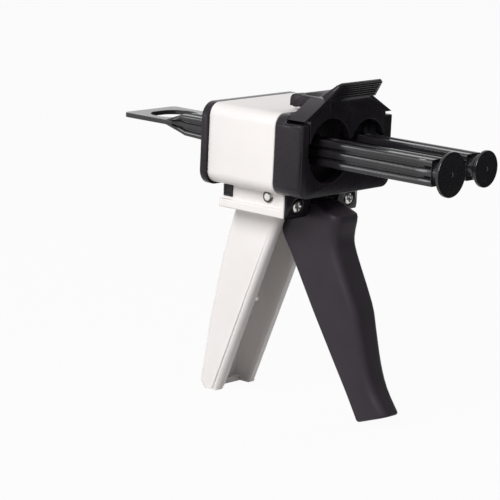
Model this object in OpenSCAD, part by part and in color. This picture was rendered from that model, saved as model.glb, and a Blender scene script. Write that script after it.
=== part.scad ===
// Hand dispenser for twin-barrel impression material cartridges.
// Frame: +X along the plunger towards the cartridge, +Y to the tool's left, +Z up.
// Origin: centre of the cartridge seat, on the front face of the nose's back wall.

/* [Body] */
// Width of the sleeve and of the nose
body_w = 55.9; // [50:0.1:68]
// Height of the sleeve's top above the rods' axis
body_top = 14.6; // [13:0.1:18]
// Depth of the sleeve's underside below the rods' axis
body_drop = 17; // [16:0.1:21]
// Length of the sleeve
sleeve_len = 33.5; // [32:0.5:42]
// Outer corner radius of the sleeve
corner_r = 5; // [3:0.5:7]
// Wall of the sleeve
shell = 2.2; // [1.6:0.1:2.8]
// Thickness of the rear plate
rear_t = 3; // [2.4:0.1:4]
// Overhang of the rear plate past the sleeve, at the sides and below
rear_lip = 1; // [0.4:0.1:2]
// Width of the raised rim on the rear plate
rear_rim = 3; // [2:0.1:4]
// Depth of the panel inside that rim
rear_panel = 1; // [0.4:0.1:1.4]

/* [Nose] */
// Thickness of the wall that the cartridge flange rests on
back_wall = 5; // [4:0.1:7]
// Width of the slot for the cartridge flange
slot_w = 4.6; // [4.2:0.1:6]
// Thickness of the front wall
front_wall = 3.9; // [2.6:0.1:5]
// Width of the lip beside the openings
lip_w = 4.7; // [3:0.1:6]
// Height of the lips above the rods' axis
lip_top = 11.6; // [9:0.1:12.4]
// Thickness of the floor under the slot
nose_floor = 3.2; // [2.4:0.1:3.8]
// Diameter of the opening for the large barrel
bore_big_d = 25.2; // [21:0.1:27]
// Diameter of the opening for the small barrel
bore_small_d = 20.6; // [19:0.1:22]
// Rounding of the nose's front edges
nose_edge_r = 1.6; // [1:0.1:3]
// Height of the screw flange below the nose
flange_h = 10; // [9.6:0.1:12]
// Thickness of the screw flange
flange_t = 2.4; // [1.8:0.1:3]
// Distance of the screw flange behind the seat
flange_back = 1.2; // [0.6:0.1:2]

/* [Latch] */
// Half width of the hood's flat top
hood_flat = 13.9; // [12:0.1:16]
// Height of the hood's top above the rods' axis
hood_top = 20.3; // [19:0.1:23]
// Thickness of the hood
hood_t = 2.2; // [1.8:0.1:2.6]
// Gap between the hood's feet and the lips
foot_gap = 1.4; // [0.6:0.1:2]
// Width of the thumb tab at its root
tab_w = 30.5; // [26:0.5:34]
// Width of the thumb tab at its end
tab_end_w = 26; // [18:0.1:30]
// Length of the thumb tab
tab_len = 8.7; // [6:0.1:12]
// Lean of the thumb tab from upright
tab_lean = 38; // [20:1:50]
// Thickness of the thumb tab at its root
tab_t = 2.8; // [2:0.1:3.4]
// Thickness of the thumb tab at its end
tab_end_t = 1; // [0.8:0.1:2]
// Number of grip ridges on the tab
tab_ridges = 6; // [3:1:8]

/* [Plunger] */
// Distance between the rods' axes
rod_pitch = 21.7; // [20:0.1:24]
// Width of a rod
rod_w = 8.6; // [7:0.1:10]
// Height of a rod
rod_h = 10.2; // [8.5:0.1:10.8]
// Distance of the disc faces in front of the seat
reach = 66.8; // [40:0.1:90]
// Diameter of the disc for the large barrel
disc_big_d = 17.3; // [15:0.1:18.4]
// Diameter of the disc for the small barrel
disc_small_d = 14.2; // [12:0.1:15.4]
// Thickness of a disc
disc_t = 2; // [1.4:0.1:3]
// Distance of the tail's end behind the seat
tail_end = 97; // [94:0.1:120]
// Thickness of the tail plate
tail_t = 1.9; // [1.4:0.1:2.6]
// Length of the finger hole
hole_len = 16.5; // [13:0.1:18]
// Width of the finger hole
hole_w = 20.5; // [18.2:0.1:22]
// Pitch of the teeth under the rods
tooth_pitch = 2.5; // [2:0.1:4]

/* [Neck and handle] */
// Width across the neck's rails
neck_w = 44; // [42:0.1:50]
// Height of the neck
neck_h = 9.8; // [9.4:0.1:11]
// Height of the rails
rail_h = 3.3; // [2.8:0.1:4]
// Depth of the recess above the rails
neck_recess = 2.4; // [1:0.1:3]
// Wall of the neck
neck_wall = 2.2; // [1.8:0.1:2.6]
// Width of the handle
handle_w = 24.4; // [22:0.1:28]
// Length of the handle below the neck
handle_len = 78; // [65:1:95]
// Depth of the handle at its top
handle_top_d = 24.1; // [20:0.1:26]
// Depth of the handle at its end
handle_end_d = 10.8; // [8:0.1:12]
// How far the handle's back leans rearward
handle_lean = 16; // [8:0.1:22]
// Wall of the handle
handle_wall = 2.4; // [2:0.1:3]
// How far the handle's back bows out between its ends
handle_bow = 1.7; // [0:0.1:2.5]
// How far the handle's end stands back between its side walls
end_back = 5.2; // [3:0.1:6]
// Gap between the trigger and each side wall of the handle
mouth_gap = 0.5; // [0.4:0.1:1]

/* [Trigger] */
// Width of the trigger at its top
trigger_w = 15.2; // [13:0.1:15.4]
// Width of the trigger at its tip
tip_w = 11; // [9:0.1:13]
// Length of the trigger below its pivot
trigger_len = 84.5; // [70:0.5:95]
// Distance of the pivot behind the seat
pivot_back = 13.5; // [13.2:0.1:14]
// Length of the arm that carries the drive pawl
arm_len = 11; // [10.4:0.1:11.4]
// Lean of that arm at rest
arm_lean = 14; // [10:1:16]

/* [Pins and springs] */
// Radius of the trigger pin
trigger_pin_r = 1.5; // [1.2:0.05:1.8]
// Radius of the pawl and lock pins
small_pin_r = 1.2; // [1:0.05:1.4]
// Radius of the latch pin
latch_pin_r = 1.3; // [1:0.05:1.5]
// Radius of the release pivot's round part
release_r = 2; // [1.6:0.05:2.2]
// Wire of the trigger spring
trigger_wire = 0.8; // [0.5:0.05:0.9]
// Wire of the small springs
small_wire = 0.5; // [0.3:0.05:0.6]

/* [Fits] */
// Gap beside a sliding piece
slide_gap = 0.35; // [0.3:0.05:0.5]
// Radial gap of a turning pin
run_gap = 0.06; // [0.02:0.01:0.1]
// Radial gap of a pin or screw that stays put
still_gap = 0.03; // [0.01:0.01:0.05]

/* [Hidden] */
$fn = 64;
eps = 0.02;
over = 1;

// Stations along X
nose_x = slot_w + front_wall;
sleeve_x1 = -back_wall;
sleeve_x0 = sleeve_x1 - sleeve_len;
rear_x0 = sleeve_x0 - rear_t;
flange_x1 = -flange_back;
flange_x0 = flange_x1 - flange_t;

// Nose
slot_half = body_w / 2 - lip_w;
slot_floor = -body_drop + nose_floor;
split_low = -1.2;
split_high = 4.2;
big_y = -rod_pitch / 2 + 0.6;
big_z = 0.5;
small_y = rod_pitch / 2 + 1.7;
small_z = 0.8;
flange_z = -body_drop - flange_h;
flange_half = neck_w / 2;
flange_bend = -body_drop - 2.6;
flange_foot = 0.5;
flange_edge = 0.9;
flange_bevel = 4;

// Neck
neck_z = -body_drop - neck_h;
rail_z = neck_z + rail_h;
neck_half = neck_w / 2;
wall_half = neck_half - neck_recess;
inner_half = wall_half - neck_wall;
neck_x1 = flange_x0;
neck_x0 = sleeve_x0 + 1.5;
neck_bar = 2.4;
well_half = trigger_w / 2 + 0.8;
well_x0 = -24;
window_half = inner_half + 0.3;

// Handle: back and front edges at the top and at the end
handle_z0 = neck_z - handle_len;
back_top_x = neck_x0 - 0.4;
back_end_x = back_top_x - handle_lean;
front_top_x = back_top_x + handle_top_d;
front_end_x = back_end_x + handle_end_d;
mouth_half = trigger_w / 2 + mouth_gap;
bow_z = [neck_z - 0.28 * handle_len, neck_z - 0.6 * handle_len];
heel = 2.6;

// Trigger pivot and the pawl pin on its arm
pivot = [-pivot_back, -body_drop - 2.6];
trigger_z = -body_drop - 3.2;
pawl_at = [pivot[0] - arm_len * sin(arm_lean), pivot[1] + arm_len * cos(arm_lean)];
hub_r = 4.4;
pin_head_r = 2.3;
arm_half = 4;
arm_r = 2.5;

// Trigger sections below the pivot: back and front points, as shares of trigger_len in Z
trigger_sections = [
    // back x, back z, front x, front z, share of the way from top width to tip width
    [-13.6, 0.03, 2.5, 0.018, 0.4],
    [-15, 0.075, 9, 0.048, 0.1],
    [-15.6, 0.133, 11.6, 0.073, 0],
    [-16, 0.18, 10.6, 0.169, 0],
    [-10.6, 0.279, 12.3, 0.246, 0],
    [0, 0.495, 21.3, 0.462, 0.1],
    [5.3, 0.601, 24.2, 0.578, 0.24],
    [12.3, 0.743, 27.8, 0.727, 0.48],
    [18.7, 0.873, 32, 0.836, 0.76],
    [24.5, 1, 38.6, 0.941, 1]
];
section_front_r = 4.2;
section_back_r = 0.8;

// Lock pawl and release lever
lock_at = [-23.5, -10.2];
lock_half = 14.2;
lock_hub_r = 2.3;
spring_at = [lock_at[0] + 2.3, 11];
ear_in = 15;
release_at = [neck_x0 + 2.9, -body_drop - 3.3];
release_block = [4.5, 4.4];
release_out = wall_half + 0.5;
release_hub_r = 3;
release_half = 10;
thumb_half = 8;
thumb_x = rear_x0 - 4.6;
thumb_top = -body_drop - rear_lip - 0.7;

// Latch hinge
hinge = [-7.3, 18.4];
knuckle_r = 2.6;
knuckle_drop = 2.3;
knuckle_end = 1.2;
knuckle_in = 9;
ear_half = knuckle_in - slide_gap;
plate_x0 = slot_w + 0.3;
plate_half = slot_half - 0.4;
foot_z = lip_top + foot_gap;
foot_half = body_w / 2 - 1.2;

// Plunger
rod_x1 = reach - 6.3;
tail_z = [0.1, 0.1 + tail_t];
tail_corner = 2.5;
web_x1 = -70;
taper_top_x = [-74.5, -65.5];
taper_low = [[-73.4, tail_z[0]], [-63, -3.1], [-54, -3.6], [-50, -3.6], [-46, -rod_h / 2 - 0.4]];
rod_out = rod_pitch / 2 + rod_w / 2;
hole_x = -82.8;
stub_r = 1.6;
stub_len = 6;
groove_w = 1.7;
groove_d = 1.1;
groove_z = 1.9;
rod_edge = 0.7;
tooth_d = 0.8;
teeth_x = [-45, 54];
rack_half = rod_w / 2 - 1.2;
tongue_half = rack_half - slide_gap;
tongue_h = 0.9;

// Fasteners
screw_y = 15.8;
screw_z = -body_drop - 5.2;
screw_r = 1.4;
screw_head_r = 2.4;
screw_head_t = 1.2;
screw_sink = 1.5;
screw_len = 7;
rear_screw_in = 5;
rear_screw_r = 1.2;
rear_head_r = 2.2;
rear_head_t = 1.2;
rear_screw_len = 8;
boss_r = 3;
boss_len = 10;

white = [0.95, 0.93, 0.92];
black = [0.14, 0.14, 0.16];
steel = [0.75, 0.75, 0.77];

// Draws a profile given in (Y, Z) from x0 to x1
module along_x(x0, x1) {
    translate([x0, 0, 0]) rotate([90, 0, 90]) linear_extrude(x1 - x0) children();
}

// Draws a profile given in (X, Z) from y0 to y1
module along_y(y0, y1) {
    translate([0, y1, 0]) rotate([90, 0, 0]) linear_extrude(y1 - y0) children();
}

// Box from its low corner to its high corner
module block(low, high) {
    translate(low) cube(high - low);
}

// Round bar along X, at a (Y, Z) place
module bar_x(at, r, x0, x1) {
    along_x(x0, x1) translate(at) circle(r);
}

// Round bar along Y, at an (X, Z) place
module bar_y(at, r, y0, y1) {
    along_y(y0, y1) translate(at) circle(r);
}

// Rectangle with round corners, centred on Y, from z0 to z1
module round_rect(w, z0, z1, r) {
    translate([-w / 2, z0 + r]) square([w, z1 - z0 - 2 * r]);
    translate([-w / 2 + r, z0]) square([w - 2 * r, z1 - z0]);
    for (y = [-w / 2 + r, w / 2 - r], z = [z0 + r, z1 - r]) translate([y, z]) circle(r);
}

// The two rod passages, larger than the rods by gap
module rod_passages(gap) {
    for (side = [-1, 1])
        translate([side * rod_pitch / 2 - rod_w / 2 - gap, -rod_h / 2 - gap])
            square([rod_w + 2 * gap, rod_h + 2 * gap]);
}

// The two barrel openings
module barrel_openings() {
    translate([big_y, big_z]) circle(bore_big_d / 2);
    translate([small_y, small_z]) circle(bore_small_d / 2);
}

// Places of the rear plate's screws, in (Y, Z)
rear_screw_places = [
    for (y = [-1, 1], z = [-body_drop + rear_screw_in, body_top - rear_screw_in])
        [y * (body_w / 2 - rear_screw_in), z]
];

// Solid skinned over rings of points; each ring runs anticlockwise seen from the last ring
module skin(rings) {
    n = len(rings[0]);
    last = len(rings) - 1;
    polyhedron(
        points = [for (r = rings) each r],
        faces = concat(
            [for (i = [0 : last - 1], k = [0 : n - 1]) [i * n + k, (i + 1) * n + k, i * n + (k + 1) % n]],
            [for (i = [0 : last - 1], k = [0 : n - 1])
                [i * n + (k + 1) % n, (i + 1) * n + k, (i + 1) * n + (k + 1) % n]],
            [for (k = [1 : n - 2]) [0, k, k + 1]],
            [for (k = [1 : n - 2]) [last * n, last * n + k + 1, last * n + k]]
        )
    );
}

// Wire along points, with rings set square to the path; axis never lies along the path
wire_sides = 6;
function unit(v) = v / norm(v);
function heading(p, i) = unit(p[min(i + 1, len(p) - 1)] - p[max(i - 1, 0)]);
function wire_ring(p, i, r, axis) =
    let (t = heading(p, i), u = unit(axis - (axis * t) * t), v = cross(t, u))
    [for (k = [0 : wire_sides - 1])
        let (a = 360 * k / wire_sides)
        p[i] + r * (cos(a) * u + sin(a) * v)];
module wire(p, r, axis) {
    skin([for (i = [0 : len(p) - 1]) wire_ring(p, i, r, axis)]);
}

// Torsion coil round a Y axis through at, with two straight legs; angles are from +X towards +Z
function coil_point(at, r, y, a) = [at[0] + r * cos(a), y, at[1] + r * sin(a)];
function torsion_path(at, r, y0, rise, a0, a1, legs) =
    let (n = ceil((a1 - a0) / 30), start = coil_point(at, r, y0, a0), end = coil_point(at, r, y0 + rise, a1))
    concat(
        [start + legs[0] * [sin(a0), 0, -cos(a0)]],
        [for (i = [0 : n]) coil_point(at, r, y0 + rise * i / n, a0 + (a1 - a0) * i / n)],
        [end + legs[1] * [-sin(a1), 0, cos(a1)]]
    );

module housing_sleeve() {
    color(white) difference() {
        union() {
            difference() {
                along_x(sleeve_x0, sleeve_x1) round_rect(body_w, -body_drop, body_top, corner_r);
                along_x(sleeve_x0 - over, sleeve_x1 + over)
                    round_rect(body_w - 2 * shell, -body_drop + shell, body_top - shell, corner_r - shell);
            }
            for (at = rear_screw_places) bar_x(at, boss_r, sleeve_x0, sleeve_x0 + boss_len);
        }
        for (at = rear_screw_places)
            bar_x(at, rear_screw_r + still_gap, sleeve_x0 - over, sleeve_x0 + boss_len - over);
        block([neck_x0 + 0.5, -window_half, -body_drop - over], [-8, window_half, -body_drop + shell + over]);
    }
}

module rear_plate() {
    w = body_w + 2 * rear_lip;
    z0 = -body_drop - rear_lip;
    z1 = body_top;
    color(black) difference() {
        along_x(rear_x0, sleeve_x0) round_rect(w, z0, z1, corner_r + rear_lip);
        along_x(rear_x0 - over, rear_x0 + rear_panel)
            round_rect(w - 2 * rear_rim, z0 + rear_rim, z1 - rear_rim, corner_r + rear_lip - rear_rim);
        along_x(rear_x0 - over, sleeve_x0 + over) rod_passages(slide_gap);
        for (at = rear_screw_places) {
            bar_x(at, rear_screw_r + still_gap, rear_x0 - over, sleeve_x0 + over);
            bar_x(at, rear_head_r + still_gap, rear_x0 - over, rear_x0 + rear_panel + rear_head_t);
        }
    }
}

module rear_plate_screws() {
    head_x = rear_x0 + rear_panel;
    color(steel) for (at = rear_screw_places) difference() {
        union() {
            bar_x(at, rear_head_r, head_x, head_x + rear_head_t);
            bar_x(at, rear_screw_r, head_x, head_x + rear_screw_len);
        }
        cross_slot(at, head_x - over, head_x + rear_head_t / 2, rear_head_r);
    }
}

// Cross recess in a screw head that faces along X
module cross_slot(at, x0, x1, head_r) {
    arm = head_r * 0.62;
    half = head_r * 0.16;
    for (s = [[arm, half], [half, arm]])
        block([x0, at[0] - s[0], at[1] - s[1]], [x1, at[0] + s[0], at[1] + s[1]]);
}

// Outline of the nose from above, with its front edges rounded
module nose_plan() {
    half = body_w / 2;
    r = nose_edge_r;
    translate([-back_wall, -half]) square([nose_x + back_wall - r, body_w]);
    translate([nose_x - r - eps, -half + r]) square([r + eps, body_w - 2 * r]);
    for (y = [-half + r, half - r]) translate([nose_x - r, y]) circle(r);
}

module front_bracket() {
    color(black) difference() {
        union() {
            along_x(-back_wall, 0) round_rect(body_w, -body_drop, body_top, corner_r);
            intersection() {
                along_x(-eps, nose_x) difference() {
                    round_rect(body_w, -body_drop, body_top, corner_r);
                    translate([-body_w, lip_top]) square([2 * body_w, body_w]);
                }
                translate([0, 0, -body_w]) linear_extrude(2 * body_w) nose_plan();
            }
            screw_flange();
            latch_ears();
        }
        block([0, -slot_half, slot_floor], [slot_w, slot_half, body_w]);
        block([slot_w - eps, -slot_half, split_low], [nose_x + over, slot_half, body_w]);
        along_x(slot_w - eps, nose_x + over) barrel_openings();
        along_x(-back_wall - over, eps) rod_passages(slide_gap);
        bar_y(hinge, latch_pin_r + still_gap, -ear_half - over, ear_half + over);
    }
}

// Flange under the nose: its face leans back to a thin foot and its sides are bevelled
module screw_flange() {
    top = -body_drop + over;
    flat = flange_half - flange_bevel;
    difference() {
        intersection() {
            along_y(-flange_half, flange_half) polygon([
                [flange_x0, top], [flange_x1, top], [flange_x1, flange_bend],
                [flange_x0 + flange_foot, flange_z], [flange_x0, flange_z]
            ]);
            translate([0, 0, flange_z - over]) linear_extrude(flange_h + 3 * over) polygon([
                [flange_x0 - over, -flange_half], [flange_x0 + flange_edge, -flange_half], [flange_x1, -flat],
                [flange_x1, flat], [flange_x0 + flange_edge, flange_half], [flange_x0 - over, flange_half]
            ]);
        }
        block([flange_x0 - over, -well_half, flange_z - over], [flange_x1 + over, well_half, -body_drop - 0.6]);
        for (side = [-1, 1]) {
            bar_x([side * screw_y, screw_z], screw_r + still_gap, flange_x0 - over, flange_x1 + over);
            bar_x([side * screw_y, screw_z], screw_head_r + 0.6, flange_x1 - screw_sink, flange_x1 + over);
        }
    }
}

module latch_ears() {
    along_y(-ear_half, ear_half) {
        translate(hinge) circle(knuckle_r - 0.2);
        polygon([
            [-0.6, body_top - over], [-0.6, hinge[1] - 1.6], [hinge[0] + 1.4, hinge[1] + 1.9],
            [hinge[0] - 0.6, hinge[1] - 2.2], [-back_wall, body_top + 0.6], [-back_wall, body_top - over]
        ]);
    }
}

module bracket_screws() {
    head_x = flange_x1 - screw_sink;
    color(steel) for (side = [-1, 1]) difference() {
        union() {
            bar_x([side * screw_y, screw_z], screw_head_r, head_x, head_x + screw_head_t);
            bar_x([side * screw_y, screw_z], screw_r, head_x - screw_len, head_x + eps);
        }
        cross_slot([side * screw_y, screw_z], head_x + screw_head_t / 2,
            head_x + screw_head_t + over, screw_head_r);
    }
}

module latch() {
    inner = hood_flat - 0.7;
    drop = hood_top - hood_t;
    color(black) difference() {
        union() {
            along_x(0, nose_x) polygon([
                [-foot_half, foot_z], [-hood_flat, hood_top], [hood_flat, hood_top], [foot_half, foot_z],
                [foot_half - 3.8, foot_z], [inner, drop], [-inner, drop], [-foot_half + 3.8, foot_z]
            ]);
            along_x(plate_x0, nose_x) difference() {
                polygon([
                    [-plate_half, split_high], [plate_half, split_high], [plate_half, foot_z],
                    [inner, drop + eps], [-inner, drop + eps], [-plate_half, foot_z]
                ]);
                barrel_openings();
            }
            for (side = [-1, 1]) latch_arm(side);
            thumb_tab();
        }
        bar_y(hinge, latch_pin_r + run_gap, -hood_flat + knuckle_end, hood_flat - knuckle_end);
    }
}

// Arm and hinge knuckle on one side of the hood
module latch_arm(side) {
    y0 = side > 0 ? knuckle_in : -hood_flat;
    along_y(y0, y0 + hood_flat - knuckle_in) {
        translate(hinge) circle(knuckle_r);
        translate([hinge[0] - knuckle_r, hinge[1] - knuckle_drop]) square([knuckle_r, knuckle_drop]);
        translate([hinge[0], hinge[1] - knuckle_drop])
            square([-hinge[0] + eps, hood_top - hinge[1] + knuckle_drop]);
    }
}

module thumb_tab() {
    root = tab_w / 2;
    end = tab_end_w / 2;
    corner = 0.8;
    sink = 3;
    margin = 1.2;
    translate([nose_x + 0.4, 0, hood_top - 0.3]) rotate([0, tab_lean, 0]) {
        intersection() {
            along_x(-tab_t, 0) {
                difference() {
                    polygon([[-root, 0], [root, 0], [end, tab_len], [-end, tab_len]]);
                    for (side = [-1, 1])
                        translate([side * end, tab_len]) rotate(45) square(2 * corner, center = true);
                }
                translate([-root + sink, -sink]) square([2 * (root - sink), sink + eps]);
            }
            along_y(-root, root) polygon([
                [-tab_t, -sink], [0, -sink], [0, tab_len], [-tab_end_t, tab_len], [-tab_t, 0]
            ]);
        }
        for (i = [1 : tab_ridges]) {
            up = tab_len * i / (tab_ridges + 1);
            half = root + (end - root) * up / tab_len - margin;
            bar_y([0, up], 0.4, -half, half);
        }
    }
}

module latch_pin() {
    long = hood_flat - knuckle_end - 0.2;
    color(steel) bar_y(hinge, latch_pin_r, -long, long);
}

// Flat slice of the handle, round at its back corners, between two X places
module handle_slice(x0, x1, z) {
    back_r = 3;
    front_r = 1;
    half = handle_w / 2;
    translate([0, 0, z]) linear_extrude(eps) {
        for (y = [-1, 1]) {
            translate([x0 + min(back_r, (x1 - x0) / 2), y * (half - back_r)]) circle(back_r, $fn = 32);
            translate([x1 - front_r, y * (half - front_r)]) circle(front_r, $fn = 32);
        }
    }
}

// X of the handle's back and front edges at height z
function back_at(z) = back_top_x + (back_end_x - back_top_x) * (neck_z - z) / handle_len;
function front_at(z) = front_top_x + (front_end_x - front_top_x) * (neck_z - z) / handle_len;

module handle_body() {
    end_z = handle_z0 + heel;
    hull() {
        handle_slice(back_at(neck_z + 1), front_at(neck_z + 1), neck_z + 1);
        for (z = bow_z) handle_slice(back_at(z) - handle_bow, front_at(z), z);
        handle_slice(back_at(end_z), front_at(end_z), end_z);
        handle_slice(back_at(handle_z0) + heel, front_at(handle_z0) - 0.6, handle_z0);
    }
}

// Space inside the handle, open to the front, and the step in its end between the side walls
module handle_channel() {
    floor_z = handle_z0 + handle_wall;
    step_x = front_at(handle_z0) - end_back;
    out = 12;
    along_y(-mouth_half, mouth_half) polygon([
        [back_at(neck_z) + handle_wall, neck_z], [front_at(neck_z) + out, neck_z],
        [front_at(floor_z) + out, handle_z0 - over], [step_x, handle_z0 - over],
        [step_x, floor_z], [back_at(floor_z) + handle_wall, floor_z],
        [back_at(bow_z[1]) + handle_wall - handle_bow, bow_z[1]],
        [back_at(bow_z[0]) + handle_wall - handle_bow, bow_z[0]]
    ]);
}

module neck() {
    floor_z = neck_z + neck_wall;
    difference() {
        union() {
            block([neck_x0, -wall_half, neck_z], [neck_x1, wall_half, -body_drop]);
            block([neck_x0, -neck_half, neck_z], [neck_x1, neck_half, rail_z]);
            block([neck_x1 - neck_bar, -neck_half, neck_z], [neck_x1, neck_half, -body_drop]);
        }
        block([neck_x0 - over, -inner_half, floor_z], [neck_x1 + over, inner_half, -body_drop + over]);
        block([well_x0, -well_half, neck_z - over], [neck_x1 + over, well_half, floor_z + over]);
        for (side = [-1, 1])
            block(
                [release_at[0] - release_block[0] / 2 - still_gap,
                    side > 0 ? inner_half - over : -neck_half - over,
                    release_at[1] - release_block[1] / 2 - still_gap],
                [release_at[0] + release_block[0] / 2 + still_gap,
                    side > 0 ? neck_half + over : -inner_half + over, -body_drop + over]
            );
    }
    for (side = [-1, 1]) screw_post(side);
    for (side = [-1, 1]) lock_ear(side);
}

// Post behind the screw flange that a bracket screw bites into
module screw_post(side) {
    post = 3.6;
    long = 6.8;
    difference() {
        block(
            [neck_x1 - long, min(side * (screw_y - post), side * (inner_half + eps)), neck_z + neck_wall - eps],
            [neck_x1, max(side * (screw_y - post), side * (inner_half + eps)), screw_z + post]
        );
        bar_x([side * screw_y, screw_z], screw_r + still_gap, neck_x1 - long - over, neck_x1 + over);
    }
}

// Ear on the neck's wall that carries the lock pin; the left one has the spring's shelf
module lock_ear(side) {
    half = 3.2;
    low = min(side * ear_in, side * (inner_half + eps));
    high = max(side * ear_in, side * (inner_half + eps));
    difference() {
        union() {
            along_y(low, high) {
                translate(lock_at) circle(half);
                translate([lock_at[0] - half, neck_z + neck_wall - eps])
                    square([2 * half, lock_at[1] - neck_z - neck_wall + eps]);
            }
            if (side > 0)
                block([lock_at[0] + 0.2, 8.6, -body_drop - 0.6], [lock_at[0] + 5.2, ear_in + eps, -body_drop + 0.6]);
        }
        bar_y(lock_at, small_pin_r + still_gap, low - over, high + over);
    }
}

module handle_frame() {
    color(white) difference() {
        union() {
            neck();
            difference() {
                handle_body();
                block([-200, -100, neck_z + neck_wall / 2], [200, 100, 0]);
            }
        }
        handle_channel();
        block([well_x0, -well_half, neck_z - over], [neck_x1 + over, well_half, neck_z + neck_wall + over]);
        bar_y(pivot, trigger_pin_r + still_gap, -neck_half, neck_half);
    }
}

// Smooth curve through the rows of a list, at place u counted in rows
function row(list, i) = list[max(0, min(len(list) - 1, i))];
function smooth_row(list, u) =
    let (i = min(floor(u), len(list) - 2), f = u - i)
    let (a = row(list, i - 1), b = row(list, i), c = row(list, i + 1), d = row(list, i + 2))
    b + f * (c - a) / 2 + f * f * (a - 2.5 * b + 2 * c - d / 2) + f * f * f * (1.5 * (b - c) + (d - a) / 2);

// Ring of points round the trigger at one section
function section_z(share) = trigger_z - trigger_len * share;
function quarter(at, r, a0, n) =
    [for (k = [0 : n]) at + r * [cos(a0 + 90 * k / n), sin(a0 + 90 * k / n)]];
function trigger_ring(s) =
    let (back = [s[0], section_z(s[1])], front = [s[2], section_z(s[3])])
    let (depth = norm(front - back), along = unit(front - back))
    let (half = (trigger_w + (tip_w - trigger_w) * s[4]) / 2, f = section_front_r, b = section_back_r)
    [for (q = concat(
            quarter([depth - f, half - f], f, 0, 8), quarter([b, half - b], b, 90, 3),
            quarter([b, b - half], b, 180, 3), quarter([depth - f, f - half], f, 270, 8)))
        [back[0] + along[0] * q[0], q[1], back[1] + along[1] * q[0]]];

module trigger() {
    s = trigger_sections;
    per_row = 3;
    steps = (len(s) - 1) * per_row;
    hollow = 3.2;
    skin = 2.4;
    color(black) difference() {
        union() {
            skin([for (i = [steps : -1 : 0]) trigger_ring(smooth_row(s, i / per_row))]);
            along_y(-trigger_w / 2 + 1.2, trigger_w / 2 - 1.2) {
                translate(pivot) circle(hub_r);
                polygon([
                    [pivot[0] - hub_r + 0.4, pivot[1] - 1.6], [pivot[0] + hub_r - 0.6, pivot[1] + 2],
                    [2.5, section_z(0.108)], [2.5, section_z(0.15)], [-14, section_z(0.16)],
                    [-14.6, section_z(0.135)]
                ]);
            }
            trigger_arm();
        }
        along_y(-hollow, hollow) polygon([
            [-10.5 - 3, section_z(0.284)], [-10.5 + 2 * skin + 6, section_z(0.30)],
            for (i = [5 : 8]) [s[i][2] - skin - 3, section_z(s[i][3])],
            [s[8][0] - 6, section_z(s[8][1])]
        ]);
        bar_y(pivot, trigger_pin_r + run_gap, -trigger_w, trigger_w);
        bar_y(pawl_at, small_pin_r + still_gap, -arm_half - over, arm_half + over);
    }
}

// Arm above the pivot that carries the drive pawl
module trigger_arm() {
    along_y(-arm_half, arm_half) {
        translate(pawl_at) circle(arm_r);
        translate(pivot) rotate(arm_lean) translate([-arm_r, 0]) square([2 * arm_r, arm_len]);
    }
}

module trigger_pin() {
    head = 1;
    color(steel) {
        bar_y(pivot, trigger_pin_r, -wall_half - 1.6, wall_half + eps);
        bar_y(pivot, pin_head_r, wall_half, wall_half + head);
    }
}

module trigger_pin_clip() {
    t = 0.7;
    r = pin_head_r;
    color(steel) difference() {
        bar_y(pivot, r, -wall_half - t - 0.1, -wall_half - 0.1);
        bar_y(pivot, trigger_pin_r + still_gap, -neck_half, neck_half);
        along_y(-neck_half, neck_half) translate(pivot) rotate(35) translate([0, -trigger_pin_r * 0.8])
            square([2 * r, trigger_pin_r * 1.6]);
    }
}

module trigger_spring() {
    turns_a = 3 * 360 + 60;
    color(steel) wire(
        torsion_path(pivot, 2.5, trigger_w / 2 + 0.9, 3.1, 100, 100 + turns_a, [3, 4]),
        trigger_wire / 2, [0, 1, 0]
    );
}

// Drive pawl: two cheeks on the pawl pin and a bar whose edge drives the rods
pawl_cheek_in = arm_half + slide_gap;
pawl_cheek_out = pawl_cheek_in + 3;
pawl_top = -rod_h / 2 - slide_gap - (arm_len - arm_len * cos(arm_lean));
pawl_half = rod_out - 1;
module drive_pawl() {
    reach_x = 5.4;
    bar = 2.1;
    color(steel) difference() {
        union() {
            for (side = [-1, 1]) {
                y0 = side > 0 ? pawl_cheek_in : -pawl_cheek_out;
                along_y(y0, y0 + 3) {
                    translate(pawl_at) circle(arm_r);
                    translate([pawl_at[0], pawl_at[1] - 0.4]) square([reach_x, 2.4]);
                }
            }
            along_y(-pawl_half, pawl_half) translate([pawl_at[0] + reach_x - bar, pawl_at[1] - 0.4])
                square([bar, pawl_top - tongue_h - pawl_at[1] + 0.4]);
            for (side = [-1, 1]) rod_strip(side, tongue_half) polygon([
                [pawl_at[0] + reach_x - bar, pawl_at[1] - 0.4], [pawl_at[0] + reach_x, pawl_at[1] - 0.4],
                [pawl_at[0] + reach_x, pawl_top], [pawl_at[0] + reach_x - 0.6, pawl_top],
                [pawl_at[0] + reach_x - bar, pawl_top - 1.2]
            ]);
        }
        bar_y(pawl_at, small_pin_r + run_gap, -pawl_half, pawl_half);
    }
}

module pawl_pin() {
    color(steel) bar_y(pawl_at, small_pin_r, -pawl_cheek_out - 0.6, pawl_cheek_out + 3);
}

module pawl_spring() {
    color(steel) wire(
        torsion_path(pawl_at, 1.8, pawl_cheek_out + 0.5, 1.9, 190, 190 + 2 * 360 + 90, [1.6, 1.6]),
        small_wire / 2, [0, 1, 0]
    );
}

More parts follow.
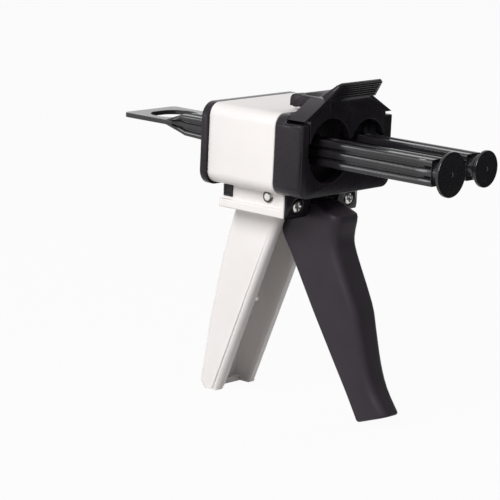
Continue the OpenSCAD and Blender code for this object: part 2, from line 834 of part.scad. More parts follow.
// Lock pawl: its front edge holds the rods and its tail is lifted to let them go
lock_top = -rod_h / 2 - slide_gap;
lock_tail = 6.5;
lock_tip = 3.9;
tail_half_w = 4.5;
tail_low = lock_at[1] - 1.3;
module lock_pawl() {
    color(steel) difference() {
        union() {
            along_y(-lock_half, lock_half) {
                translate(lock_at) circle(lock_hub_r);
                polygon([
                    [lock_at[0], lock_at[1] - 1.2], [lock_at[0] + lock_tip, lock_at[1] + 1.2],
                    [lock_at[0] + lock_tip, lock_top - tongue_h],
                    [lock_at[0] + lock_tip - 1.9, lock_top - tongue_h], [lock_at[0] - 0.6, lock_at[1] + 2.2]
                ]);
            }
            for (side = [-1, 1]) rod_strip(side, tongue_half) polygon([
                [lock_at[0] + lock_tip, lock_at[1] + 1.2], [lock_at[0] + lock_tip, lock_top],
                [lock_at[0] + lock_tip - 0.6, lock_top], [lock_at[0] + lock_tip - 2, lock_at[1] + 2.2]
            ]);
            along_y(-tail_half_w, tail_half_w) polygon([
                [lock_at[0] - lock_tail, tail_low], [lock_at[0], tail_low],
                [lock_at[0], lock_at[1] + 1.4], [lock_at[0] - lock_tail, lock_at[1] + 0.6]
            ]);
            block([lock_at[0], spring_at[1] - 2, lock_at[1] - lock_hub_r],
                [lock_at[0] + lock_tip, spring_at[1] + 2, lock_at[1] + 1.2]);
        }
        bar_y(lock_at, small_pin_r + run_gap, -lock_half - over, lock_half + over);
    }
}

module lock_pin() {
    color(steel) bar_y(lock_at, small_pin_r, -inner_half, inner_half);
}

module lock_spring() {
    z0 = -body_drop + 0.6 + small_wire / 2 + 0.05;
    z1 = lock_at[1] - lock_hub_r - small_wire / 2 - 0.3;
    r = 1.5;
    turns = 3;
    per_turn = 12;
    color(steel) wire(
        [for (i = [0 : turns * per_turn])
            let (a = 360 * i / per_turn)
            [spring_at[0] + r * cos(a), spring_at[1] + r * sin(a), z0 + (z1 - z0) * i / (turns * per_turn)]],
        small_wire / 2, [0, 0, 1]
    );
}

module release_lever() {
    lift_at = [lock_at[0] - 4, tail_low - 0.5 - 1];
    lift_r = 1;
    color(black) difference() {
        union() {
            bar_y(release_at, release_hub_r, -release_half, release_half);
            along_y(-thumb_half, thumb_half) polygon([
                [release_at[0], thumb_top], [thumb_x, thumb_top], [thumb_x, thumb_top - 1.2],
                [thumb_x + 5.5, thumb_top - 4], [release_at[0], release_at[1] - release_hub_r]
            ]);
            along_y(-tail_half_w + 0.5, tail_half_w - 0.5) {
                translate(lift_at) circle(lift_r);
                polygon([
                    [release_at[0] - 1.4, release_at[1] + 2.4], lift_at + [-0.8, 0.6],
                    lift_at + [0.8, -0.6], [release_at[0] + 2.7, release_at[1] - 0.5]
                ]);
            }
        }
        bar_y(release_at, release_r + run_gap, -release_half - over, release_half + over);
    }
}

module release_pivot() {
    color(black) {
        bar_y(release_at, release_r, -inner_half, inner_half);
        for (side = [-1, 1])
            block([release_at[0] - release_block[0] / 2, side > 0 ? inner_half - eps : -release_out,
                    release_at[1] - release_block[1] / 2],
                [release_at[0] + release_block[0] / 2, side > 0 ? release_out : -inner_half + eps,
                    release_at[1] + release_block[1] / 2]);
    }
}

// Cross-section of a rod, with its side and top grooves
module rod_section() {
    a = rod_w / 2;
    b = rod_h / 2;
    e = rod_edge;
    difference() {
        polygon([
            [-a, -b + e], [-a + e, -b], [a - e, -b], [a, -b + e],
            [a, b - e], [a - e, b], [-a + e, b], [-a, b - e]
        ]);
        for (side = [-1, 1], z = [-groove_z, groove_z])
            translate([side * a, z]) square([2 * groove_d, groove_w], center = true);
        translate([0, b]) square([2.4, 1.6], center = true);
    }
}

// Draws a profile given in (X, Z) in a strip along the middle of one rod
module rod_strip(side, half) {
    along_y(side * rod_pitch / 2 - half, side * rod_pitch / 2 + half) children();
}

// Rack teeth cut into the underside of both rods, between their side walls
module tooth_cut() {
    low = -rod_h / 2;
    count = floor((teeth_x[1] - teeth_x[0]) / tooth_pitch);
    for (side = [-1, 1]) rod_strip(side, rack_half) polygon(concat(
        [[teeth_x[0], low - over]],
        [for (i = [0 : count - 1]) each [
            [teeth_x[0] + i * tooth_pitch, low],
            [teeth_x[0] + i * tooth_pitch + tooth_pitch * 0.3, low],
            [teeth_x[0] + (i + 0.98) * tooth_pitch, low + tooth_d]
        ]],
        [[teeth_x[0] + count * tooth_pitch, low], [teeth_x[0] + count * tooth_pitch, low - over]]
    ));
}

module tail_plan() {
    r = tail_corner;
    translate([-tail_end + r, -rod_out]) square([tail_end - r + web_x1, 2 * rod_out]);
    translate([-tail_end, -rod_out + r]) square([r + eps, 2 * (rod_out - r)]);
    for (side = [-1, 1]) translate([-tail_end + r, side * (rod_out - r)]) circle(r);
}

// Hole with round ends across the tail
module finger_hole() {
    r = hole_len / 2;
    run = max(hole_w - hole_len, eps);
    for (y = [-run / 2, run / 2]) translate([hole_x, y]) circle(r);
    translate([hole_x - r, -run / 2]) square([hole_len, run]);
}

module plunger() {
    color(black) difference() {
        union() {
            difference() {
                for (side = [-1, 1])
                    along_x(taper_top_x[0], rod_x1) translate([side * rod_pitch / 2, 0]) rod_section();
                along_y(-rod_out - over, rod_out + over) polygon([
                    [taper_top_x[0] - over, tail_z[1]], [taper_top_x[0], tail_z[1]],
                    [taper_top_x[1], rod_h / 2 + eps], [taper_top_x[0] - over, rod_h / 2 + over]
                ]);
                along_y(-rod_out - over, rod_out + over) polygon([
                    [taper_top_x[0] - over, tail_z[0]], each taper_low,
                    [taper_low[4][0], -rod_h / 2 - over], [taper_top_x[0] - over, -rod_h / 2 - over]
                ]);
            }
            translate([0, 0, tail_z[0]]) linear_extrude(tail_t) tail_plan();
        }
        translate([0, 0, tail_z[0] - over]) linear_extrude(tail_t + 2 * over) finger_hole();
        tooth_cut();
        for (side = [-1, 1])
            bar_x([side * rod_pitch / 2, 0], stub_r + still_gap, rod_x1 - stub_len - 0.5, rod_x1 + over);
    }
}

// Piston disc on its collar, with the stub that plugs into the rod's end
module push_disc(y, d) {
    neck_r = 3.9;
    collar_r = 5.2;
    collar = 1.2;
    neck_len = 2.3;
    color(black) {
        bar_x([y, 0], stub_r, rod_x1 - stub_len, rod_x1 + eps);
        bar_x([y, 0], neck_r, rod_x1, reach - disc_t + eps);
        bar_x([y, 0], collar_r, rod_x1 + neck_len, rod_x1 + neck_len + collar);
        difference() {
            bar_x([y, 0], d / 2, reach - disc_t, reach);
            bar_x([y, 0], 0.5, reach - 0.3, reach + over);
        }
    }
}

module push_disc_right() {
    push_disc(-rod_pitch / 2, disc_big_d);
}

module push_disc_left() {
    push_disc(rod_pitch / 2, disc_small_d);
}

housing_sleeve();
handle_frame();
front_bracket();
rear_plate();
bracket_screws();
rear_plate_screws();
latch();
latch_pin();
trigger();
trigger_pin();
trigger_pin_clip();
trigger_spring();
drive_pawl();
pawl_pin();
pawl_spring();
lock_pawl();
lock_pin();
lock_spring();
release_lever();
release_pivot();
plunger();
push_disc_right();
push_disc_left();
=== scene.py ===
import bpy
import bmesh
from math import radians, sin, cos
from mathutils import Vector, Matrix


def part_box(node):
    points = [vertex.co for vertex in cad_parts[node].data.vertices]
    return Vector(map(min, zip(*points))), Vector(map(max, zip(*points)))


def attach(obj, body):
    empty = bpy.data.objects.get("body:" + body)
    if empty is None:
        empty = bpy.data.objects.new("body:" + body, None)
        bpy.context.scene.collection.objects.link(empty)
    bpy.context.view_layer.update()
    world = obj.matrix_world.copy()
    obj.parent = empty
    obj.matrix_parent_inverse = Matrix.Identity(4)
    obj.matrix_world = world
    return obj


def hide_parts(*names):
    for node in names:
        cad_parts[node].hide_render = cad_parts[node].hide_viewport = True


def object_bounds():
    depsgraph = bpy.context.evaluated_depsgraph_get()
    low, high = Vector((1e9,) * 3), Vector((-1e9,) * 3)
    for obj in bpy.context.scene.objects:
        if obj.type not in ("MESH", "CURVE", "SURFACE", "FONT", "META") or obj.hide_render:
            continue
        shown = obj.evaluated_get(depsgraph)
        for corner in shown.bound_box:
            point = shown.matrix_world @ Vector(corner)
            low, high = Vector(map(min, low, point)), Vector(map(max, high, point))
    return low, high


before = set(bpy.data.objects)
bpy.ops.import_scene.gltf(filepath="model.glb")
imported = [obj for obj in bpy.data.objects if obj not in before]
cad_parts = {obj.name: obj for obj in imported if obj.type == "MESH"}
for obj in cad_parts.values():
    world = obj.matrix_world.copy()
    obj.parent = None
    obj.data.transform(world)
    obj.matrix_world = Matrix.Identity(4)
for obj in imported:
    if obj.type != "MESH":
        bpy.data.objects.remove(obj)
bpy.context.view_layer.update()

mm = 0.001
close = 0.01     # mm, points this near count as in place
slack = 1.0      # mm, room for picking the end of a piece
longEdge = 20    # mm, only edges along a whole piece are longer
square = 0.9     # a normal with this much of an axis faces that way
doubles = 0.002  # mm, finished points nearer than this are merged
smoothing = {"moulded": 40, "turned": 35, "copied": 60}      # degrees
edging = {"sharp": 32, "ridgeSteps": 3, "rimSteps": 4}       # degrees, then segments
copying = {"merge": 0.003, "flat": 0.6}                      # mm, degrees
alongX, alongY = Vector((1, 0, 0)), Vector((0, 1, 0))


# small helpers

def clearSelection():
    if bpy.context.mode != "OBJECT":
        bpy.ops.object.mode_set(mode="OBJECT")
    bpy.ops.object.select_all(action="DESELECT")


def makeActive(piece):
    clearSelection()
    piece.select_set(True)
    bpy.context.view_layer.objects.active = piece


def startEditing(piece):
    makeActive(piece)
    bpy.ops.object.mode_set(mode="EDIT")
    bpy.ops.mesh.select_all(action="SELECT")


def stopEditing():
    bpy.ops.object.mode_set(mode="OBJECT")


def applyModifier(piece, kind, **settings):
    makeActive(piece)
    step = piece.modifiers.new(kind.lower(), kind)
    for key, value in settings.items():
        setattr(step, key, value)
    bpy.ops.object.modifier_apply(modifier=step.name)


def settle(piece, name):
    piece.name = name
    piece.data.name = name
    bpy.ops.object.transform_apply(location=True, rotation=True, scale=True)
    return piece


def addBlock(name, low, high):    # corners in mm
    clearSelection()
    low, high = Vector(low) * mm, Vector(high) * mm
    bpy.ops.mesh.primitive_cube_add(size=1, location=(low + high) / 2, scale=high - low)
    return settle(bpy.context.object, name)


def addRound(name, radius, depth, at, sides=64):    # mm, upright
    clearSelection()
    bpy.ops.mesh.primitive_cylinder_add(vertices=sides, radius=radius * mm, depth=depth * mm,
                                        location=Vector(at) * mm)
    return settle(bpy.context.object, name)


def pick(piece, kind, test):
    bpy.ops.mesh.select_mode(type=kind)
    bpy.ops.mesh.select_all(action="DESELECT")
    mesh = bmesh.from_edit_mesh(piece.data)
    for part in {"VERT": mesh.verts, "EDGE": mesh.edges, "FACE": mesh.faces}[kind]:
        part.select_set(test(part))
    bmesh.update_edit_mesh(piece.data)


def pickFaces(piece, test):    # test gets a face's middle in mm and its normal
    pick(piece, "FACE", lambda face: test(face.calc_center_median() / mm, face.normal))


def pickEdges(piece, test):    # test gets an edge's middle and its run, in mm
    def passes(edge):
        start, end = (vert.co for vert in edge.verts)
        return test((start + end) / 2 / mm, (end - start) / mm)
    pick(piece, "EDGE", passes)


def pickVerts(piece, test):    # test gets a vertex's place in mm
    pick(piece, "VERT", lambda vert: test(vert.co / mm))


def cutAcross(point, normal):    # mm
    bpy.ops.mesh.select_all(action="SELECT")
    bpy.ops.mesh.bisect(plane_co=Vector(point) * mm, plane_no=normal)


def shift(x=0, y=0, z=0):    # mm
    bpy.ops.transform.translate(value=(x * mm, y * mm, z * mm))


def combine(piece, other, operation="UNION"):
    applyModifier(piece, "BOOLEAN", object=other, operation=operation, solver="EXACT")
    bpy.data.objects.remove(other, do_unlink=True)


def softenEdges(piece, width, segments=2):    # width in mm, less where short edges stop it
    makeActive(piece)
    bpy.ops.object.shade_smooth()
    applyModifier(piece, "BEVEL", width=width * mm, segments=segments, limit_method="ANGLE",
                  angle_limit=radians(edging["sharp"]), miter_outer="MITER_ARC", harden_normals=True)


def roundRidges(piece, width):    # rounds the edges that stand out, and no inner corner
    makeActive(piece)
    bpy.ops.object.shade_smooth()
    startEditing(piece)
    sharp = radians(edging["sharp"])
    pick(piece, "EDGE", lambda edge: edge.is_convex and edge.calc_face_angle(0) > sharp)
    bpy.ops.mesh.bevel(offset=width * mm, segments=edging["ridgeSteps"], affect="EDGES",
                       clamp_overlap=False, harden_normals=True)
    stopEditing()


def roundRim(piece, test, width):    # rounds the outline of the faces that pass the test
    startEditing(piece)
    pickFaces(piece, test)
    bpy.ops.mesh.region_to_loop()
    bpy.ops.mesh.bevel(offset=width * mm, segments=edging["rimSteps"], affect="EDGES",
                       clamp_overlap=False)
    stopEditing()


def smoothFaces(piece, angle):
    makeActive(piece)
    bpy.ops.object.shade_smooth_by_angle(angle=radians(angle))
    applyModifier(piece, "WEIGHTED_NORMAL", keep_sharp=True)


def mergeDoubles(piece):
    startEditing(piece)
    bpy.ops.mesh.remove_doubles(threshold=doubles * mm)
    stopEditing()


def plainCopy(node, name):
    piece = bpy.data.objects.new(name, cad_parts[node].data.copy())
    piece.data.name = name
    bpy.context.scene.collection.objects.link(piece)
    startEditing(piece)
    bpy.ops.mesh.remove_doubles(threshold=copying["merge"] * mm)
    bpy.ops.mesh.dissolve_limited(angle_limit=radians(copying["flat"]))
    stopEditing()
    return piece


def softenedCopy(node, name, edge, segments=2):    # edge 0 only smooths the faces
    piece = plainCopy(node, name)
    if edge:
        softenEdges(piece, edge, segments)
    else:
        bpy.ops.object.shade_smooth_by_angle(angle=radians(smoothing["copied"]))
    return piece


# a turned piece: a filled circle drawn out along an axis, step by step
def turnedPiece(name, centre, profile, along=alongX, sides=48):
    clearSelection()
    place, radius = profile[0]
    centre = Vector(centre)
    across = Vector((1, 1, 1)) - along
    bpy.ops.mesh.primitive_circle_add(vertices=sides, radius=radius * mm, fill_type="NGON",
                                      location=(centre + along * place) * mm,
                                      rotation=along.to_track_quat("Z", "Y").to_euler())
    piece = settle(bpy.context.object, name)
    startEditing(piece)
    for nextPlace, nextRadius in profile[1:]:
        step = along * (nextPlace - place) * mm
        bpy.ops.mesh.extrude_region_move(TRANSFORM_OT_translate={"value": step})
        grow = nextRadius / radius
        bpy.ops.transform.resize(value=along + across * grow,
                                 center_override=(centre + along * nextPlace) * mm)
        place, radius = nextPlace, nextRadius
    bpy.ops.mesh.select_all(action="SELECT")
    bpy.ops.mesh.normals_make_consistent(inside=False)
    stopEditing()
    smoothFaces(piece, smoothing["turned"])
    return piece


def joinPieces(name, pieces):
    clearSelection()
    for piece in pieces:
        piece.select_set(True)
    bpy.context.view_layer.objects.active = pieces[0]
    bpy.ops.object.join()
    pieces[0].name = name
    pieces[0].data.name = name
    return pieces[0]


def seat(piece, body, slotName, finish, *nodes):
    piece.data.materials.clear()
    piece.data.materials.append(finish)
    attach(piece, body)
    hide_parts(*nodes)
    print(piece.name, len(piece.data.polygons), "faces")


# shader maths as plain expressions

class Wire:
    def __init__(self, finish, socket):
        self.finish, self.socket = finish, socket

    def math(self, operation, first, second):
        return self.finish.add("Math", {"operation": operation}, {0: first, 1: second})

    def __add__(self, other):
        return self.math("ADD", self, other)

    def __radd__(self, other):
        return self.math("ADD", other, self)

    def __mul__(self, other):
        return self.math("MULTIPLY", self, other)

    def __rmul__(self, other):
        return self.math("MULTIPLY", other, self)


class Finish:
    def __init__(self, name):
        self.material = bpy.data.materials.new(name)
        self.material.use_nodes = True
        self.tree = self.material.node_tree
        self.tree.nodes.clear()
        self.place = self.add("TexCoord", output="Object")

    def add(self, kind, settings=None, inputs=None, output=0):
        node = self.tree.nodes.new("ShaderNode" + kind)
        for key, value in (settings or {}).items():
            setattr(node, key, value)
        for key, value in (inputs or {}).items():
            if isinstance(value, Wire):
                self.tree.links.new(value.socket, node.inputs[key])
            else:
                node.inputs[key].default_value = value
        return Wire(self, node.outputs[output]) if len(node.outputs) else node

    def noise(self, size, detail, stretch=(1, 1, 1)):    # size in mm
        at = self.add("Mapping", None, {"Vector": self.place, "Scale": stretch})
        return self.add("TexNoise", None, {"Vector": at, "Scale": 1 / (size * mm), "Detail": detail})

    def fade(self, value, low, high):
        return self.add("MapRange", {"clamp": True}, {"Value": value, "From Min": low, "From Max": high})

    def blend(self, share, first, second):
        first = (*first, 1) if isinstance(first, tuple) else first
        second = (*second, 1) if isinstance(second, tuple) else second
        return self.add("Mix", {"data_type": "RGBA"}, {0: share, 6: first, 7: second}, output=2)

    def bump(self, height, depth, strength):    # depth in mm
        return self.add("Bump", None, {"Height": height, "Distance": depth * mm, "Strength": strength})

    def done(self, **inputs):
        sockets = {key.replace("_", " "): value for key, value in inputs.items()}
        self.close(self.add("BsdfPrincipled", None, sockets))
        return self.material

    def close(self, shader):
        self.add("OutputMaterial", None, {"Surface": shader})


# finishes: pattern sizes and bump depths in mm

coarse, fine = 3, 2        # noise detail
cloudFade = (0.3, 0.7)     # the part of the noise that the two colours share

whiteLook = {"cloud": 18, "patch": 3.5, "grain": 0.28, "rough": 0.34, "roughSpread": 0.14,
             "specular": 0.5, "bump": 0.02, "bumpShare": 0.5,
             "colours": ((0.885, 0.85, 0.838), (0.86, 0.824, 0.808))}
blackLook = {"cloud": 12, "patch": 2.5, "grain": 0.32, "rough": 0.22, "roughSpread": 0.14,
             "specular": 0.21, "bump": 0.016, "bumpShare": 0.5,
             "colours": ((0.0142, 0.0112, 0.015), (0.0188, 0.0154, 0.02)),
             "scuff": {"size": 0.5, "stretch": (0.25, 1, 1), "fade": (0.66, 0.76), "share": 0.25,
                       "colour": (0.03, 0.029, 0.031)}}
triggerLook = {"cloud": 14, "patch": 2, "grain": 0.4, "rough": 0.42, "roughSpread": 0.14,
               "specular": 0.25, "bump": 0.03, "bumpShare": 0.5,
               "colours": ((0.022, 0.0165, 0.0232), (0.0275, 0.0215, 0.0288))}
rodLook = {"cloud": 10, "streak": 0.8, "stretch": (0.02, 1, 1), "rough": 0.1, "roughSpread": 0.14,
           "specular": 0.5, "bump": 0.03, "bumpShare": 0.8,
           "colours": ((0.0155, 0.0138, 0.0165), (0.0215, 0.0195, 0.0225))}
steelLook = {"patch": 0.9, "scratch": 0.2, "stretch": (0.2, 1, 1), "rough": 0.2, "roughSpread": 0.18,
             "bump": 0.01, "bumpShare": 0.4,
             "colours": ((0.72, 0.71, 0.69), (0.58, 0.57, 0.56))}
darkSteelLook = {"patch": 0.8, "scratch": 0.18, "stretch": (0.2, 1, 1), "rough": 0.32, "roughSpread": 0.2,
                 "bump": 0.01, "bumpShare": 0.4,
                 "colours": ((0.06, 0.055, 0.052), (0.1, 0.093, 0.088))}


def mouldedFinish(name, look):
    f = Finish(name)
    cloud = f.noise(look["cloud"], coarse)
    patch = f.noise(look["patch"], coarse)
    grain = f.noise(look["grain"], fine)
    colour = f.blend(f.fade(cloud, *cloudFade), *look["colours"])
    scuff = look.get("scuff")
    if scuff:
        mark = f.fade(f.noise(scuff["size"], coarse, scuff["stretch"]), *scuff["fade"])
        colour = f.blend(mark * scuff["share"], colour, scuff["colour"])
    return f.done(Base_Color=colour, Roughness=look["rough"] + look["roughSpread"] * patch,
                  Specular_IOR_Level=look["specular"],
                  Normal=f.bump(grain, look["bump"], look["bumpShare"]))


def rodFinish(name, look):
    f = Finish(name)
    cloud = f.noise(look["cloud"], coarse)
    streak = f.noise(look["streak"], coarse, look["stretch"])
    colour = f.blend(f.fade(cloud, *cloudFade), *look["colours"])
    return f.done(Base_Color=colour, Roughness=look["rough"] + look["roughSpread"] * streak,
                  Specular_IOR_Level=look["specular"],
                  Normal=f.bump(streak, look["bump"], look["bumpShare"]))


def steelFinish(name, look):
    f = Finish(name)
    patch = f.noise(look["patch"], coarse)
    scratch = f.noise(look["scratch"], fine, look["stretch"])
    colour = f.blend(patch, *look["colours"])
    return f.done(Base_Color=colour, Metallic=1.0,
                  Roughness=look["rough"] + look["roughSpread"] * scratch,
                  Normal=f.bump(scratch, look["bump"], look["bumpShare"]))


whitePlastic = mouldedFinish("white_moulded_plastic", whiteLook)
blackPlastic = mouldedFinish("black_moulded_plastic", blackLook)
triggerPlastic = mouldedFinish("matte_trigger_plastic", triggerLook)
rodPlastic = rodFinish("glossy_rod_plastic", rodLook)
steel = steelFinish("bright_steel", steelLook)
darkSteel = steelFinish("dark_spring_steel", darkSteelLook)
print("finishes ready")


# mouldings that keep the frame's shape and get soft edges, in mm

sleeveForm = {"edge": 0.45}
sleeve = plainCopy("housing_sleeve", "sleeve_shell")
roundRidges(sleeve, sleeveForm["edge"])
seat(sleeve, "gun_body", "white_plastic", whitePlastic, "housing_sleeve")

noseForm = {"edge": 0.5}
bracket = plainCopy("front_bracket", "nose_bracket")
roundRidges(bracket, noseForm["edge"])
seat(bracket, "gun_body", "black_plastic", blackPlastic, "front_bracket")

plateForm = {"edge": 0.4, "steps": 3}
endPlate = softenedCopy("rear_plate", "end_plate", plateForm["edge"], plateForm["steps"])
seat(endPlate, "gun_body", "black_plastic", blackPlastic, "rear_plate")

hoodForm = {"edge": 0.2}
latchHood = plainCopy("latch", "latch_hood")
roundRidges(latchHood, hoodForm["edge"])
mergeDoubles(latchHood)
seat(latchHood, "latch_body", "black_plastic", blackPlastic, "latch")

leverForm = {"edge": 0.7, "steps": 3, "endBelow": -100, "endRound": 1.2}
handLever = plainCopy("trigger", "hand_lever")
atLeverEnd = lambda at, out: out.z < -square and at.z < leverForm["endBelow"]
roundRim(handLever, atLeverEnd, leverForm["endRound"])
softenEdges(handLever, leverForm["edge"], leverForm["steps"])
seat(handLever, "trigger_body", "trigger_plastic", triggerPlastic, "trigger")

thumbForm = {"edge": 0.4}
thumbLever = softenedCopy("release_lever", "thumb_lever", thumbForm["edge"])
seat(thumbLever, "release_body", "black_plastic", blackPlastic, "release_lever")
print("mouldings ready")


# handle with a round bead and a fine groove along both front edges, and a small lug inside

handleForm = {"edge": 0.3, "railFrom": 21.9, "railRound": 0.5}
bead = {"topX": -13.3, "topZ": -27.4, "endX": -42.6, "endZ": -104.2, "deep": 3.2, "inner": 8.2,
        "outer": 12.4, "proud": 0.15, "round": 2.6, "innerRound": 0.5, "steps": 8}
groove = {"behind": 2.1, "wide": 0.6, "deep": 0.8, "past": 2, "fade": 1.3}
lug = {"x": -26.6, "z": -63.5, "long": 2.2, "tall": 1.6, "out": 1.0, "sunk": 0.5, "edge": 0.3}


def leaningBar(name, back, front, inner, outer, side):    # runs down the handle's front edge
    near, far = sorted((side * inner, side * outer))
    bar = addBlock(name, (bead["topX"] + back, near, bead["endZ"]), (bead["topX"] + front, far, bead["topZ"]))
    startEditing(bar)
    pickVerts(bar, lambda at: at.z < bead["endZ"] + slack)
    shift(x=bead["endX"] - bead["topX"])
    stopEditing()
    return bar


def handleBead(side):
    strip = leaningBar("bead", -bead["deep"], bead["proud"], bead["inner"], bead["outer"], side)
    startEditing(strip)
    front = (bead["topX"] + bead["endX"]) / 2 - slack
    wallMiddle = (bead["inner"] + bead["outer"]) / 2
    inFront = lambda at, way: abs(way.z) > longEdge and at.x > front
    for offset, isOuter in ((bead["round"], True), (bead["innerRound"], False)):
        pickEdges(strip, lambda at, way: inFront(at, way) and (abs(at.y) > wallMiddle) == isOuter)
        bpy.ops.mesh.bevel(offset=offset * mm, segments=bead["steps"], affect="EDGES")
    stopEditing()
    return strip


def handleGroove(side):    # fades out towards the neck
    middle = -groove["behind"]
    cutter = leaningBar("groove", middle - groove["wide"] / 2, middle + groove["wide"] / 2,
                        bead["outer"] - bead["proud"] - groove["deep"], bead["outer"] + groove["past"], side)
    startEditing(cutter)
    pickVerts(cutter, lambda at: at.z > bead["topZ"] - slack)
    shift(y=side * groove["deep"] * groove["fade"])
    stopEditing()
    return cutter


handle = plainCopy("handle_frame", "handle_moulding")
onRail = lambda at, out: abs(out.y) > square and abs(at.y) > handleForm["railFrom"]
roundRim(handle, onRail, handleForm["railRound"])
softenEdges(handle, handleForm["edge"])
for side in (-1, 1):
    corner = leaningBar("corner", -bead["round"], slack, bead["outer"] - bead["round"],
                        bead["outer"] + slack, side)
    combine(handle, corner, "DIFFERENCE")    # clears the old corner for the bead
    combine(handle, handleBead(side))
    combine(handle, handleGroove(side), "DIFFERENCE")
nub = addBlock("lug", (lug["x"] - lug["long"], -bead["inner"] - lug["sunk"], lug["z"] - lug["tall"]),
               (lug["x"], -bead["inner"] + lug["out"], lug["z"]))
softenEdges(nub, lug["edge"])
combine(handle, nub)
smoothFaces(handle, smoothing["moulded"])
seat(handle, "gun_body", "white_plastic", whitePlastic, "handle_frame")
print("handle ready")


# twin rods with their racks and the tail plate

rods = {"pitch": 21.7, "width": 8.6, "height": 10.2, "back": -74.5, "front": 60.5, "edge": 0.7, "edgeSteps": 3,
        "grooveUp": 1.9, "grooveWidth": 1.7, "grooveDepth": 1.3, "grooveWall": 0.2, "grooveEdge": 0.2,
        "grooveLip": 0.12, "topGroove": 2.4, "topDepth": 0.8, "rackBack": -45, "toothPitch": 2.5,
        "toothCount": 39, "rackHalf": 3.1, "rackSunk": 0.05, "toothDepth": 0.8, "toothCuts": (0.0, 0.3, 0.98),
        "taperReach": 0.7}
rackFront = rods["rackBack"] + rods["toothCount"] * rods["toothPitch"]
taper = [(-74.5, 0.4, 1.7), (-65.5, -2.3, 5.1), (-63, -3.1, 5.1), (-54, -3.6, 5.1),
         (-50, -3.6, 5.1), (-46, -5.1, 5.1)]    # place, underside, top
tail = {"end": -97, "front": -70, "half": 15.25, "low": 0.1, "high": 2.0, "corner": 2.5, "cornerSteps": 8,
        "holeAt": -82.8, "holeLong": 16.5, "holeWide": 20.5, "holeDeep": 8, "holeUp": 1,
        "edge": 0.3}


def cutTeeth(rod, y):    # saw teeth in the strip under a rod
    pitch, low, sunk = rods["toothPitch"], -rods["height"] / 2, rods["rackSunk"]
    inStrip = lambda at: abs(at.y - y) < rods["rackHalf"] + close and rods["rackBack"] < at.x < rackFront
    pickFaces(rod, lambda at, out: out.z < -square and at.z < low + 2 * close and inStrip(at))
    bpy.ops.mesh.extrude_region_move(TRANSFORM_OT_translate={"value": (0, 0, sunk * mm)})
    onStrip = lambda at: abs(at.z - low - sunk) < close and inStrip(at)
    for count in range(rods["toothCount"]):
        for share in rods["toothCuts"]:
            place = rods["rackBack"] + (count + share) * pitch
            pickFaces(rod, lambda at, out: onStrip(at))
            bpy.ops.mesh.bisect(plane_co=(place * mm, 0, 0), plane_no=alongX)
    toothShare = lambda at: (at.x - rods["rackBack"]) / pitch % 1
    rootShare = rods["toothCuts"][-1]
    pickVerts(rod, lambda at: onStrip(at) and abs(toothShare(at) - rootShare) < close / 2)
    shift(z=rods["toothDepth"] - sunk)


def makeRod(y):
    half, tall = rods["width"] / 2, rods["height"] / 2
    rod = addBlock("rod", (rods["back"], y - half, -tall), (rods["front"], y + half, tall))
    startEditing(rod)
    pickEdges(rod, lambda at, way: abs(way.x) > longEdge)
    bpy.ops.mesh.bevel(offset=rods["edge"] * mm, segments=rods["edgeSteps"], affect="EDGES")
    for up in (rods["grooveUp"], -rods["grooveUp"]):
        for edge in (-1, 1):
            cutAcross((0, 0, up + edge * rods["grooveWidth"] / 2), (0, 0, 1))
    for edge in (-1, 1):
        cutAcross((0, y + edge * rods["topGroove"] / 2, 0), alongY)
        cutAcross((0, y + edge * rods["rackHalf"], 0), alongY)
    for place, low, high in taper[1:]:
        cutAcross((place, 0, 0), alongX)
    for place in (rods["rackBack"], rackFront):
        cutAcross((place, 0, 0), alongX)
    inGroove = lambda at: abs(abs(at.z) - rods["grooveUp"]) < rods["grooveWidth"] / 2
    pickFaces(rod, lambda at, out: abs(out.y) > square and inGroove(at))
    bpy.ops.mesh.inset(thickness=rods["grooveEdge"] * mm, depth=-rods["grooveLip"] * mm)
    bpy.ops.mesh.inset(thickness=rods["grooveWall"] * mm, depth=-rods["grooveDepth"] * mm)
    inTopGroove = lambda at: at.z > tall - close and abs(at.y - y) < rods["topGroove"] / 2
    pickFaces(rod, lambda at, out: out.z > square and inTopGroove(at))
    bpy.ops.mesh.inset(thickness=rods["grooveWall"] * mm, depth=-rods["topDepth"] * mm)
    cutTeeth(rod, y)
    for place, low, high in taper:
        pickVerts(rod, lambda at: abs(at.x - place) < rods["taperReach"])
        bpy.ops.transform.resize(value=(1, 1, (high - low) / rods["height"]),
                                 center_override=(place * mm, y * mm, 0))
        shift(z=(high + low) / 2)
    stopEditing()
    return rod


def makeTail():
    low, high = tail["low"], tail["high"]
    plate = addBlock("tail", (tail["end"], -tail["half"], low), (tail["front"], tail["half"], high))
    startEditing(plate)
    pickEdges(plate, lambda at, way: abs(way.z) > slack and at.x < tail["end"] + slack)
    bpy.ops.mesh.bevel(offset=tail["corner"] * mm, segments=tail["cornerSteps"], affect="EDGES")
    hole = addRound("hole", tail["holeLong"] / 2, tail["holeDeep"], (tail["holeAt"], 0, tail["holeUp"]))
    startEditing(hole)
    reach = (tail["holeWide"] - tail["holeLong"]) / 2
    for side in (-1, 1):
        pickVerts(hole, lambda at: at.y * side > close)
        shift(y=side * reach)
    combine(plate, hole, "DIFFERENCE")
    softenEdges(plate, tail["edge"])
    return plate


twinRods = makeTail()
for side in (-1, 1):
    combine(twinRods, makeRod(side * rods["pitch"] / 2))
settle(twinRods, "twin_rods")
mergeDoubles(twinRods)
bpy.ops.object.shade_smooth_by_angle(angle=radians(smoothing["turned"]))
seat(twinRods, "plunger_body", "rod_plastic", rodPlastic, "plunger")


# piston discs, turned with their collar and stub

disc = {"large": 8.65, "small": 7.1, "stub": 1.6, "back": 54.5, "rodEnd": 60.5, "neck": 3.9, "collar": 5.2,
        "collarAt": (62.8, 64.0), "faceBack": 64.8, "face": 66.8, "edge": 0.3, "dimple": 0.6, "taper": 0.9,
        "sides": 72}


